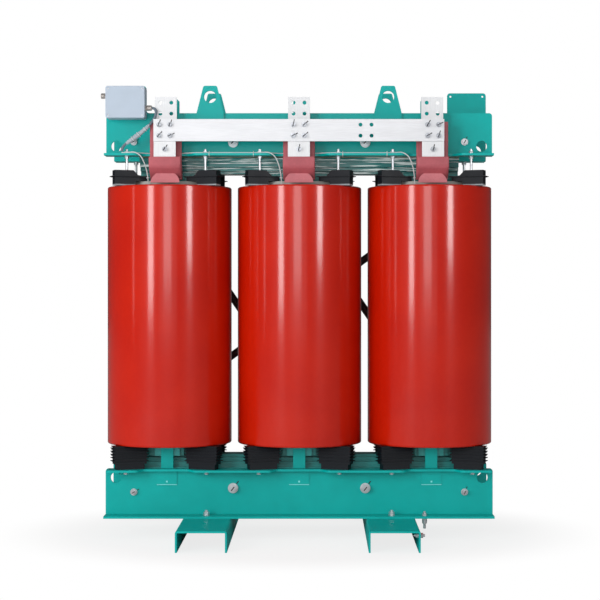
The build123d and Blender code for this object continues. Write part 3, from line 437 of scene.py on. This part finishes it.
def grid_piece(name, rings, finish):
    """Makes a closed piece from rings of shape (count, around, 3).

    Point c of ring r has the number r * around + c. A quad joins it to the next point of its ring and to
    the same two of the next ring. The two middles come last, and a fan of triangles joins each to its ring.
    """
    count, around = rings.shape[:2]
    centres = rings[[0, -1]].mean(axis=1)
    points = np.concatenate([rings.reshape(-1, 3), centres])
    row, column = np.meshgrid(np.arange(count - 1), np.arange(around), indexing="ij")
    here = row * around + column
    beside = row * around + (column + 1) % around
    quads = np.stack([here, beside, beside + around, here + around], axis=-1).reshape(-1, 4)
    turn = np.arange(around)
    onward = (turn + 1) % around
    first_middle = np.full(around, count * around)
    last_middle = first_middle + 1
    last_ring = (count - 1) * around
    start_fan = np.stack([turn, first_middle, onward], axis=-1)
    end_fan = np.stack([last_ring + turn, last_ring + onward, last_middle], axis=-1)
    faces = quads.tolist() + start_fan.tolist() + end_fan.tolist()
    return mesh_piece(name, points, faces, finish)


def points_of(node):
    """All points of a CAD solid as an array of shape (count, 3)."""
    vertices = nodes[node].data.vertices
    flat = np.empty(len(vertices) * 3)
    vertices.foreach_get("co", flat)
    return flat.reshape(-1, 3)


print("the middle winding has", len(points_of("hv_coil_b")), "points")

# %% [markdown]
# ## Paths and sweeps
#
# A bar or cord is drawn by a few corners. Arcs could join them, each with its own centre, but a running
# mean over evenly spaced points rounds any corner in one sum. The ends are first drawn on straight so that
# the mean leaves them in place. A superellipse is then carried along the path: with power 2 it is an
# ellipse, and with power 5 nearly a rectangle.


# %% Paths and sweeps
def smooth_path(corners, step, window):
    """Samples a polyline at an even step and rounds its corners with a running mean."""
    corners = np.array(corners, dtype=float)
    legs = np.linalg.norm(np.diff(corners, axis=0), axis=1)
    along = np.concatenate([[0.0], np.cumsum(legs)])
    at = np.linspace(0.0, along[-1], max(int(along[-1] / step), 8))
    line = np.stack([np.interp(at, along, corners[:, k]) for k in range(3)], axis=1)
    half = window // 2
    before = line[0] - (line[1] - line[0]) * np.arange(half, 0, -1)[:, None]
    behind = line[-1] + (line[-1] - line[-2]) * np.arange(1, half + 1)[:, None]
    padded = np.concatenate([before, line, behind])
    sums = np.cumsum(np.concatenate([np.zeros((1, 3)), padded]), axis=0)
    size = 2 * half + 1
    return (sums[size:] - sums[:-size]) / size


def as_column(size, count):
    """One number, or one for each ring, as a column of that many rows."""
    return np.broadcast_to(np.asarray(size, dtype=float).reshape(-1, 1), (count, 1))


def swept(path, side, half_width, half_thickness, power, around=64):
    """Rings of a superellipse along a path: |a/width|^power + |b/thickness|^power = 1, a along side."""
    tangent = np.gradient(path, axis=0)
    tangent /= np.linalg.norm(tangent, axis=1)[:, None]
    normal = np.cross(tangent, np.array(side, dtype=float))
    normal /= np.linalg.norm(normal, axis=1)[:, None]
    across = np.cross(normal, tangent)
    angle = np.linspace(0, 2 * np.pi, around, endpoint=False)
    wide = np.sign(np.cos(angle)) * np.abs(np.cos(angle)) ** (2 / power)
    thick = np.sign(np.sin(angle)) * np.abs(np.sin(angle)) ** (2 / power)
    width = as_column(half_width, len(path)) * wide
    depth = as_column(half_thickness, len(path)) * thick
    sideways_part = width[..., None] * across[:, None, :]
    return path[:, None, :] + sideways_part + depth[..., None] * normal[:, None, :]


phase_x = {key: float(np.mean([corner[0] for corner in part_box("lv_coil_" + key)])) for key in "abc"}
print("phase axes at X", phase_x)

# %% [markdown]
# ## Heat-shrunk sleeves
#
# Each bar is insulated where it leaves the winding and cranks forward: a pink sleeve is pushed on and
# shrunk with hot air. A scaled copy of the bar would keep its square edges, and a shrunk tube has none. So
# it is a flattened tube, a little pinched where it shrank most, and its upper end shows the thickness of
# the wall. Its bend comes from four corners: up the lead, forward, and up the riser. It stands in for the
# plain solid of the sleeve, which stays hidden.

# %% Sleeves
lv_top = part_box("lv_coil_b")[1][2]
sleeve_wall = 0.0025
sleeve_mouth = 0.008
sleeve_half_t = 0.011
sleeve_power = 5.0
# where the bend begins and ends over the top of the low-voltage winding
bend_rises = {"phase_sleeves": (0.023, 0.088), "neutral_sleeves": (0.018, 0.065)}
for node, (low_rise, high_rise) in bend_rises.items():
    low, high = (np.array(corner, dtype=float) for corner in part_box(node))
    half_w = (high[0] - low[0] - (phase_x["c"] - phase_x["a"])) / 2
    lead_y = high[1] - sleeve_half_t
    riser_y = low[1] + sleeve_half_t
    for key, x in phase_x.items():
        corners = [
            (x, lead_y, low[2]),
            (x, lead_y, lv_top + low_rise),
            (x, riser_y, lv_top + high_rise),
            (x, riser_y, high[2]),
        ]
        path = smooth_path(corners, step=0.0015, window=13)
        along = np.linspace(0.0, 1.0, len(path))
        pinched_w = half_w * (1 - 0.012 * np.sin(along * 37.0) ** 2)
        pinched_t = sleeve_half_t * (1 - 0.03 * np.sin(along * 61.0) ** 2)
        body = swept(path, (1, 0, 0), pinched_w, pinched_t, sleeve_power)
        shrink = np.array([1 - sleeve_wall / half_w, 1 - sleeve_wall / sleeve_half_t, 1.0])
        lip = (body[-1] - path[-1]) * shrink + path[-1]
        inner = lip - np.array([0.0, 0.0, sleeve_mouth])
        rings = np.concatenate([body, lip[None], inner[None]])
        piece = grid_piece(f"{node}_{key}", rings, "sleeve")
        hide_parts(node)
    print(node, "half width", round(float(half_w), 4))

# %% [markdown]
# ## Lighter tongues
#
# Where a neutral lead leaves its winding, a tongue of lighter pink lies over the bend and down onto the
# coil. Its lighter pink is painted light: the face of the bend that turns up and is lit from above. Cloth
# could be dropped on the bend, but a strip lies still and has one clear outline: narrow and round at the
# top, it widens fast and ends straight at the bottom. So it is a swept strip whose half width follows a
# quarter circle over its height.

# %% Tongues
# a lighter copy of the sleeve's pink: painted light on the face of the bend that turns up
plastic("lit_pink", (0.62, 0.21, 0.235), 0.5, 120.0, 0.0004)
tongue_top = lv_top + 0.044
tongue_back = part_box("neutral_sleeves")[0][1] + 0.043
tongue_drop = 0.054
tongue_reach = 0.022
tongue_half = 0.066
tongue_tip = 0.004
tongue_half_t = 0.0016
fall = np.linspace(0.0, 1.0, 40)
dome = tongue_tip + (tongue_half - tongue_tip) * np.sqrt(1 - (1 - fall) ** 2)
for key, x in phase_x.items():
    forward = tongue_back - tongue_reach * fall**2
    path = np.stack([np.full(len(fall), x), forward, tongue_top - tongue_drop * fall], axis=1)
    rings = swept(path, (1, 0, 0), dome, tongue_half_t, 3.0, around=48)
    grid_piece(f"lit_pink_tongue_{key}", rings, "lit_pink")
print("tongues", len(phase_x), "of width", round(2 * float(dome.max()), 3))

# %% [markdown]
# ## Torque marks
#
# After tightening, the fitter draws a dark stroke over nut and plate, so a loose nut shows at a glance.
# Each mark is two thin strips of lacquer in one line: one on the nut's face and one on the metal beside
# it. A mask in the metal's finish could draw it, but would need one for every nut. A strip is a flat box
# with a thickness of its own, as a stroke of lacquer has.


# %% Strokes
lacquer_t = 0.0006
# length on the nut, length on the plate, how far out the second lies, width
bolt_stroke = (0.018, 0.014, 0.017, 0.0042)
end_stud_stroke = (0.016, 0.010, 0.023, 0.0036)
yoke_stud_stroke = (0.022, 0.016, 0.033, 0.0048)


def strip(centre, direction, length, width, thickness):
    """Corner points of a thin box that faces -Y, drawn along a direction in X and Z."""
    along = np.array([direction[0], 0.0, direction[1]]) * length / 2
    across = np.array([-direction[1], 0.0, direction[0]]) * width / 2
    back = np.array([0.0, thickness / 2, 0.0])
    signs = np.array([(a, b, c) for c in (-1, 1) for a, b in ((-1, -1), (1, -1), (1, 1), (-1, 1))])
    return np.array(centre) + signs @ np.stack([along, across, back])


def boxes_piece(name, boxes, finish):
    """One piece out of many eight-cornered boxes: box n uses the points from 8n on."""
    front_and_back = [(0, 1, 2, 3), (7, 6, 5, 4)]
    edges = [(0, 4, 5, 1), (1, 5, 6, 2), (2, 6, 7, 3), (3, 7, 4, 0)]
    sides = np.array(front_and_back + edges)
    faces = (np.arange(len(boxes))[:, None, None] * 8 + sides[None]).reshape(-1, 4)
    piece = mesh_piece(name, np.concatenate(boxes), faces.tolist(), finish)
    piece.data.shade_flat()
    return piece


def torque_mark(x, z, nut_y, plate_y, angle, stroke):
    """A stroke on a nut's face and one beside it on the plate, both at one angle to X."""
    on_nut, on_plate, reach, width = stroke
    heading = (math.cos(angle), math.sin(angle))
    beside = (x + heading[0] * reach, plate_y, z + heading[1] * reach)
    return [
        strip((x, nut_y, z), heading, on_nut, width, lacquer_t),
        strip(beside, heading, on_plate, width, lacquer_t),
    ]


plastic("lacquer", (0.012, 0.012, 0.02), 0.4, 300.0, 0.0001)
print("strokes are", 1000 * lacquer_t, "mm thick")

# %% [markdown]
# ## Marks on the neutral bolts
#
# Four bolts hold each riser to the neutral bar and a fifth sits below the bar in the riser. No two strokes
# have the same slope, because a hand drew them. Random numbers would do, but a sine of the bolt's number
# turns each stroke and gives the same picture on every run.

# %% Bolt marks
bar_low, bar_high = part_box("neutral_bar")
bolt_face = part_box("neutral_bolts")[0][1] - 0.0002
bar_middle = (bar_low[2] + bar_high[2]) / 2
half_pitch = 0.050 / 2
riser_drop = 0.086
marks = []
for number, (key, x) in enumerate(phase_x.items()):
    riser_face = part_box("neutral_riser_" + key)[0][1]
    spots = [
        (x + side * half_pitch, bar_middle + level * half_pitch, bar_low[1])
        for side in (-1, 1)
        for level in (-1, 1)
    ]
    spots.append((x, bar_middle - riser_drop, riser_face))
    for spot_number, (bolt_x, bolt_z, plate_face) in enumerate(spots):
        angle = 0.95 + 0.45 * math.sin(2.3 * (len(spots) * number + spot_number))
        marks += torque_mark(bolt_x, bolt_z, bolt_face, plate_face - 0.0002, angle, bolt_stroke)
print("bolt face at Y", round(float(bolt_face), 4), "strokes", len(marks))

# %% [markdown]
# ## Marks on the yoke studs
#
# The studs that squeeze the yokes between their clamps are marked too, those between the coils with a
# longer stroke than those at the ends. Their places could be typed outright. They are insets from the box
# of the studs and from the front of the clamp's web instead, so they follow when the part grows.

# %% Stud marks
stud_low, stud_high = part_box("yoke_studs")
web_thickness = 0.010
web_front = round(float(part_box("bottom_clamp_front")[1][1]) - web_thickness, 4)
web_paint = web_front - 0.0004
yoke_nut_face = stud_low[1] - 0.0002
end_nut_face = web_front - 0.0245
between_x = (phase_x["b"] + phase_x["c"]) / 2
end_stud_x = stud_high[0] - 0.016
end_stud_levels = (stud_low[2] + 0.016, stud_high[2] - 0.0215)
yoke_stud_levels = (stud_low[2] + 0.034, stud_high[2] - 0.0235)
for side in (-1, 1):
    for z in end_stud_levels:
        slope = 0.8 + 0.3 * side
        marks += torque_mark(side * end_stud_x, z, end_nut_face, web_paint, slope, end_stud_stroke)
    for z in yoke_stud_levels:
        marks += torque_mark(side * between_x, z, yoke_nut_face, web_paint, 0.9, yoke_stud_stroke)
boxes_piece("torque_marks", marks, "lacquer")
print("web front at Y", web_front, "strokes in all", len(marks))

# %% [markdown]
# ## Fins of the support blocks
#
# Sparks creep along a surface, so the moulded blocks between windings and clamps carry thin flat fins that
# lengthen the way. A scaled copy of the outline would stand out more at its far ends than along its sides.
# So the fin takes the outline's farthest point in each direction and moves it outward by one reach. The
# four blocks of a coil share one node, and the points of one are those in its own quarter of its box.


# %% Fins
fin_thickness = 0.003
fin_pitch = 0.0145
bottom_fin_drop = 0.012
top_fin_rise = 0.034


def fins_of(node, corner_x, corner_y, levels, reach):
    """Two rings for each fin of the block that stands in one quarter of the node's box."""
    low, high = (np.array(corner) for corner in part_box(node))
    points = points_of(node)
    quarter = np.sign(points[:, :2] - (low + high)[:2] / 2)
    own = points[(quarter[:, 0] == corner_x) & (quarter[:, 1] == corner_y)]
    turn = np.linspace(0, 2 * np.pi, 72, endpoint=False)
    facing = np.stack([np.cos(turn), np.sin(turn)], axis=1)
    outline = own[np.argmax(own[:, :2] @ facing.T, axis=0), :2] + reach * facing
    lower = [np.column_stack([outline, np.full(len(turn), z)]) for z in levels]
    return [np.stack([ring, ring + [0.0, 0.0, fin_thickness]]) for ring in lower]


bottom_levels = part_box("bottom_blocks_b")[1][2] - bottom_fin_drop - fin_pitch * np.arange(5)
top_levels = [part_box("top_blocks_b")[0][2] + top_fin_rise]
quarters = ((-1, -1), (1, -1), (-1, 1), (1, 1))
fin_count = 0
for key in phase_x:
    for kind, levels, reach in (("bottom", bottom_levels, 0.0035), ("top", top_levels, 0.007)):
        node = f"{kind}_blocks_{key}"
        for number, (corner_x, corner_y) in enumerate(quarters):
            for level, rings in enumerate(fins_of(node, corner_x, corner_y, levels, reach)):
                fin = grid_piece(f"fin_{node}_{number}_{level}", rings, "block")
                fin.data.shade_flat()
                fin_count += 1
print("fins", fin_count)

# %% [markdown]
# ## Spiral wrap
#
# Above the clamp flange the sensor cable lies in a spiral wrap. A Screw modifier could wind a ribbon, but
# only round a straight line, and this cable bends. The middle of the cable at a height is the mean of the
# solid's points there, and a smooth path through nine such middles carries the wrap. Its radius is a
# cosine that turns once for each lap of the spiral, it swells near its middle and tapers at both ends.


# %% Wrap
def middle_at(node, z, x_low, x_high, half):
    """The middle of a cord at a height: the mean of its points at most half above or below."""
    points = points_of(node)
    near = (np.abs(points[:, 2] - z) < half) & (points[:, 0] > x_low) & (points[:, 0] < x_high)
    return points[near].mean(axis=0)


plastic("wrap", (0.42, 0.47, 0.52), 0.4, 200.0, 0.0003)
wrap_radius = 0.0085
lap_length = 0.011
lap_height = 0.10
taper_length = 0.012
taper_start = 0.72
cable_low, cable_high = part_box("sensor_cable")
heights = np.linspace(cable_low[2] + 0.035, cable_high[2] - 0.085, 9)
spine = np.array([middle_at("sensor_cable", z, cable_low[0], cable_high[0], 0.012) for z in heights])
path = smooth_path(spine, step=0.0012, window=25)
along = np.concatenate([[0.0], np.cumsum(np.linalg.norm(np.diff(path, axis=0), axis=1))])
ends = np.minimum(1.0, np.minimum(along, along[-1] - along) / taper_length)
turn = np.linspace(0, 2 * np.pi, 48, endpoint=False)
laps = 1 + lap_height * np.cos(turn[None, :] - 2 * np.pi * along[:, None] / lap_length)
bulge = 1 + 0.35 * np.exp(-(((along / along[-1] - 0.42) / 0.2) ** 2))
swell = ((taper_start + (1 - taper_start) * ends) * bulge)[:, None] * laps
round_rings = swept(path, (0, 1, 0), wrap_radius, wrap_radius, 2.0, around=len(turn))
rings = path[:, None, :] + (round_rings - path[:, None, :]) * swell[..., None]
grid_piece("cable_wrap", rings, "wrap")
print("wrap from", spine[0].round(3), "to", spine[-1].round(3))

# %% [markdown]
# ## Ties and beads
#
# Three ties hold the wrap, small ties next to the pressing studs hold the leads on the clamp flange, and a
# bead holds each lead where it dips into its winding. Blender has a ready torus, but it is made at the
# origin and would have to be turned and applied. These hoops are computed in place: a small circle is
# carried round a big one.


# %% Ties
def ring_tie(name, centre, axis, radius, wire):
    """A closed hoop about an axis: centre + spoke * (radius + wire * cos) + axis * wire * sin."""
    around, across = 40, 12
    axis = np.array(axis) / np.linalg.norm(axis)
    first = np.cross(axis, (0.0, 1.0, 0.0) if abs(axis[1]) < 0.9 else (1.0, 0.0, 0.0))
    first /= np.linalg.norm(first)
    second = np.cross(axis, first)
    big = np.linspace(0, 2 * np.pi, around, endpoint=False)[:, None, None]
    small = np.linspace(0, 2 * np.pi, across, endpoint=False)[None, :, None]
    spoke = np.cos(big) * first + np.sin(big) * second
    points = np.array(centre) + spoke * (radius + wire * np.cos(small)) + axis * wire * np.sin(small)
    row, column = np.meshgrid(np.arange(around) * across, np.arange(across), indexing="ij")
    next_row = (row + across) % (around * across)
    next_column = (column + 1) % across
    quads = [row + column, next_row + column, next_row + next_column, row + next_column]
    faces = np.stack(quads, axis=-1).reshape(-1, 4)
    return mesh_piece(name, points.reshape(-1, 3), faces.tolist(), "lead_white")


for number, share in enumerate((0.28, 0.52, 0.80)):
    index = int(share * (len(path) - 1))
    heading = path[index + 1] - path[index]
    ring_tie(f"cable_tie_{number}", path[index], heading, 0.0102 * bulge[index], 0.0018)

leads_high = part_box("sensor_leads")[1]
tie_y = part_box("top_clamp_front")[0][1] + 0.010
tie_z = leads_high[2] - 0.010
stud_offset = 0.180
tie_gap = 0.024
bead_rise = 0.018
tie_count = 0
for key, x in phase_x.items():
    for side in (-1, 1):
        tie_x = x + side * (stud_offset + tie_gap) - 0.004
        if spine[0][0] <= tie_x <= leads_high[0]:
            ring_tie(f"flange_tie_{key}_{side}", (tie_x, tie_y, tie_z), (1, 0, 0), 0.0115, 0.0016)
            tie_count += 1
    bead = middle_at("sensor_leads", lv_top + bead_rise, x - 0.13, x - 0.03, 0.02)
    ring_tie(f"lead_bead_{key}", bead, (0, 0, 1), 0.0045, 0.0025)
print("flange ties", tie_count, "beads", len(phase_x))

# %% [markdown]
# ## Seat plates
#
# Under each coil a thin plate is welded on the clamp's web and painted over. Its lower edge catches the
# light as a fine bright line, and a small screw sits in it. The edge of the solid is too sharp to catch
# any light, so both are thin boxes in a lighter enamel.

# %% Seat plate edges
enamel("bright_edge", (0.25, 0.80, 0.78), 0.4, 420.0, 0.0001)
edge_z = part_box("bottom_clamp_front")[1][2] - 0.074
edge_y = web_front - 0.0045
edge_length, edge_width, edge_t = 0.092, 0.003, 0.001
screw_size, screw_rise = 0.008, 0.014
edges = []
for x in phase_x.values():
    edges.append(strip((x, edge_y, edge_z), (1, 0), edge_length, edge_width, edge_t))
    edges.append(strip((x, edge_y, edge_z + screw_rise), (1, 0), screw_size, screw_size, edge_t))
boxes_piece("seat_plate_edges", edges, "bright_edge")
print("seat plates", len(phase_x), "with lower edges at Z", round(float(edge_z), 4))

# %% [markdown]
# ## Studio lights
#
# A glossy cylinder shows its lamps as upright streaks. An image of a studio round the object could light
# it, but lamps can be placed one by one. Two tall soft boxes left and right of the camera draw the two
# bright streaks. The right box is seen in reflections only, so the paint keeps its shade on that side.
# Four nested sheets behind the camera, brightest where all overlap, make the wide soft band, and a smaller
# sheet high up strengthens its upper half. A narrow strip far to the left draws the fine line at each
# coil's left edge. The fill lamp lights paint and plastic and stays out of reflections, because the resin
# would show it as one more streak.


# %% Lights
def soft_box(name, azimuth, distance, width, height, bottom, radiance):
    """An upright area light that looks at the middle limb. Power is radiance times pi times area."""
    data = bpy.data.lights.new(name, "AREA")
    data.shape = "RECTANGLE"
    data.size = width
    data.size_y = height
    data.energy = radiance * math.pi * width * height
    light = bpy.data.objects.new(name, data)
    turn = math.radians(azimuth)
    light.location = (distance * math.sin(turn), -distance * math.cos(turn), bottom + height / 2)
    light.rotation_euler = (math.radians(90), 0, turn)
    bpy.context.scene.collection.objects.link(light)
    return light


soft_box("left_box", -33, 9.0, width=1.5, height=4.2, bottom=0.95, radiance=10.5)
right_box = soft_box("right_box", 38, 9.0, width=1.5, height=4.2, bottom=1.45, radiance=13.0)
right_box.visible_diffuse = False
sheet_width = 5.4
for share, radiance in ((1.0, 0.5), (0.78, 0.6), (0.56, 0.8), (0.34, 0.9)):
    soft_box(f"sheet_{share}", -2, 9.5, sheet_width * share, 3.8, 0.6, radiance)
fill = soft_box("fill", -48, 8.0, width=2.4, height=3.6, bottom=0.5, radiance=4.2)
fill.visible_glossy = False
soft_box("edge_strip", -66, 8.0, width=0.25, height=3.6, bottom=0.9, radiance=3.5)
soft_box("high_sheet", -3, 9.3, width=2.3, height=2.4, bottom=1.15, radiance=3.6)
print("lights", len(bpy.data.lights))

# %% [markdown]
# ## World
#
# One white world would do for a matt object. This one is glossy, so the world has three levels. The camera
# sees it pure white. Matt surfaces are filled by a mid grey. Reflections get a dark grey, because a bright
# world in the clear coat would lay a haze over the red and the green.

# %% World
seen_level = 1.0
fill_level = 0.48
mirror_level = 0.06
world = bpy.data.worlds.new("studio")
world.use_nodes = True
world.node_tree.nodes.clear()
rays = world.node_tree.nodes.new("ShaderNodeLightPath")
seen = Wire(world.node_tree, rays.outputs["Is Camera Ray"])
mirrored = Wire(world.node_tree, rays.outputs["Is Glossy Ray"])
level = seen * (seen_level - fill_level) + (fill_level - mirrored * (fill_level - mirror_level))
sky = seen.node("Background", {}, {"Color": (1.0, 1.0, 1.0, 1.0), "Strength": level})
world_output = world.node_tree.nodes.new("ShaderNodeOutputWorld")
world.node_tree.links.new(sky.socket, world_output.inputs["Surface"])
bpy.context.scene.world = world
bpy.context.scene.view_settings.view_transform = "Standard"
print("world levels", seen_level, fill_level, mirror_level)

# %% [markdown]
# ## Floor
#
# The floor is pale paper that melts into the white behind it. A plane that only catches shadows needs the
# white laid under it afterwards, so this one mixes its own. To the camera it is mostly white near the
# object and wholly white away from it, and only the contact shadow is left. In reflections it is dimmed,
# because paper mirrored in the coat would whiten the lower half of the coils.

# %% Floor
floor_size = 60.0
shadow_margin = 0.45
near_white = 0.8
reflection_cut = 0.65
bpy.ops.mesh.primitive_plane_add(size=floor_size, location=(0, 0, float(cad_low[2])))
floor = bpy.context.object
floor.name = "floor"
place = start("floor")
reach = place.stretched(1 / (cad_high[0] + shadow_margin), 1 / (cad_high[1] + shadow_margin), 0.0)
distance = reach.node("VectorMath", {"operation": "LENGTH"}, {0: reach}, output="Value")
away = distance.ramp(0.7, 1.1)
paper = {
    "Base Color": place.noise(3.0).mix((0.90, 0.90, 0.90, 1.0), (0.93, 0.93, 0.93, 1.0)),
    "Roughness": 0.8,
    "Specular IOR Level": 0.1,
}
diffuse = place.node("BsdfPrincipled", {}, paper)
rays = place.tree.nodes.new("ShaderNodeLightPath")
camera_ray = Wire(place.tree, rays.outputs["Is Camera Ray"])
glossy_ray = Wire(place.tree, rays.outputs["Is Glossy Ray"])
dark = place.node("BsdfDiffuse", {}, {"Color": (0.02, 0.02, 0.02, 1.0)})
dimmed = place.node("MixShader", {}, {0: glossy_ray * reflection_cut, 1: diffuse, 2: dark})
white = place.node("Emission", {}, {"Color": (1.0, 1.0, 1.0, 1.0), "Strength": 1.0})
whiteness = (away * (1 - near_white) + near_white) * camera_ray
blend = place.node("MixShader", {}, {0: whiteness, 1: dimmed, 2: white})
floor_output = place.tree.nodes.new("ShaderNodeOutputMaterial")
place.tree.links.new(blend.socket, floor_output.inputs["Surface"])
floor.data.materials.append(finishes["floor"])
floor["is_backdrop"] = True
print("floor at Z", round(float(cad_low[2]), 4))

# %% [markdown]
